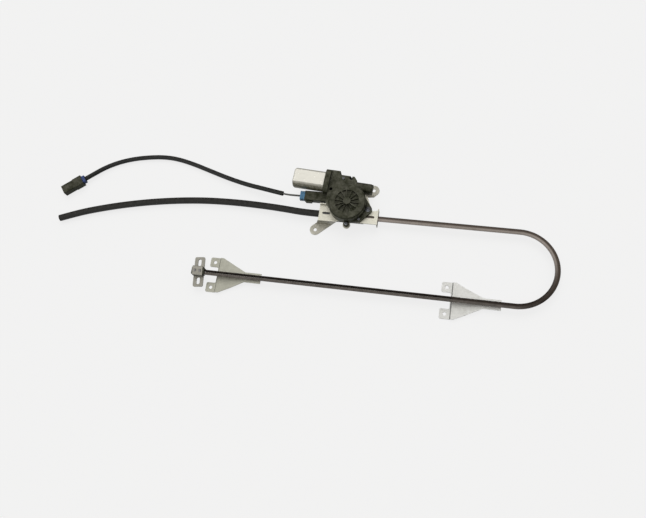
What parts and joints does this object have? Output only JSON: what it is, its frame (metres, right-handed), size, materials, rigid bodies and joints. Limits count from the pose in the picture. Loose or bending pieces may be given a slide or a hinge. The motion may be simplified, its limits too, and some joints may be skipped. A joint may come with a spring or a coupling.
{
  "type": "motor-driven window regulator",
  "caption": "Door window lifter: a geared motor pushes a rack cable through a U-bent slotted guide tube and carries the glass bracket along it.",
  "frame": {"origin": "middle of the left guide support's two fixing holes, on the mounting plane", "axes": "+X along the straight lift run of the guide tube, from its open end to the U bend; +Y from the lift run to the motor; +Z away from the door panel"},
  "size_m": [0.9983, 0.2747, 0.049],
  "materials": {
    "guide_tube": "dark bronze conversion coating, satin",
    "support_steel": "greenish zinc plate, satin",
    "bright_zinc": "bright zinc plate, satin",
    "plate_zinc": "pale yellow zinc plate, satin",
    "lift_steel": "zinc plate, weathered",
    "can_steel": "bright zinc plate",
    "cable_steel": "greased spring steel",
    "hard_steel": "ground steel",
    "screw_steel": "zinc-plated screws",
    "black_plastic": "moulded, fine texture",
    "guide_plastic": "moulded",
    "natural_plastic": "moulded, natural nylon",
    "hose_black": "extruded, satin",
    "sleeve_black": "extruded, satin",
    "wire_black": "insulated",
    "blue_rubber": "silicone",
    "navy_rubber": "silicone",
    "damper_rubber": "moulded",
    "copper": "enamelled copper wire",
    "ferrite": "sintered ferrite",
    "lamination": "stacked steel sheets",
    "bronze": "sintered bronze",
    "carbon": "carbon brush",
    "terminal_tin": "tinned"
  },
  "bodies": {
    "frame": {"guide_tube": "guide_tube", "left_guide_support": "support_steel", "right_guide_support": "bright_zinc", "rack_cable": "cable_steel", "cable_guide": "guide_plastic", "guide_screws": "screw_steel", "motor_plate": "plate_zinc", "gear_washer": "hard_steel", "gearbox_housing": "black_plastic", "gearbox_cover": "black_plastic", "shaft_seal": "damper_rubber", "axle_pin": "hard_steel", "mounting_screws": "screw_steel", "cover_screws": "screw_steel", "motor_can": "can_steel", "magnets": "ferrite", "rear_bush": "bronze", "front_bush": "bronze", "end_bush": "bronze", "thrust_pad": "hard_steel", "brush_holder": "guide_plastic", "brushes": "carbon", "motor_plug": "black_plastic", "plug_seal": "blue_rubber", "plug_terminals": "terminal_tin", "socket_blades": "terminal_tin", "end_plug": "black_plastic", "end_seal": "navy_rubber", "end_terminals": "terminal_tin", "harness_wires": "wire_black", "harness_sleeve": "sleeve_black", "cable_hose": "hose_black"},
    "lift": {"lift_bracket": "lift_steel", "lift_shoe": "black_plastic", "cable_driver": "hard_steel", "lift_rivets": "hard_steel"},
    "output": {"worm_wheel": "natural_plastic", "damper": "damper_rubber", "drive_disc": "hard_steel", "drive_gear": "hard_steel"},
    "armature": {"armature_shaft": "hard_steel", "armature_core": "lamination", "armature_windings": "copper", "commutator": "copper"}
  },
  "joints": [
    {"name": "armature_spin", "type": "hinge", "parent": "frame", "child": "armature", "pos_m": [0.24774, 0.19585, 0.031], "axis": [-0.9976, 0.0698, 0], "range_deg": [0, 93533]},
    {"name": "gear_spin", "type": "hinge", "parent": "frame", "child": "output", "pos_m": [0.2452, 0.15954, 0.0145], "axis": [0, 0, -1], "range_deg": [0, 1533.4]},
    {"name": "lift_slide", "type": "slide", "parent": "frame", "child": "lift", "axis": [1, 0, 0], "range_m": [0, 0.46], "deforming": ["rack_cable"]}
  ],
  "couplings": [
    {"joint": "gear_spin", "follows": "armature_spin", "ratio": 0.016393},
    {"joint": "lift_slide", "follows": "armature_spin", "m_per_rad": 0.00028178}
  ]
}
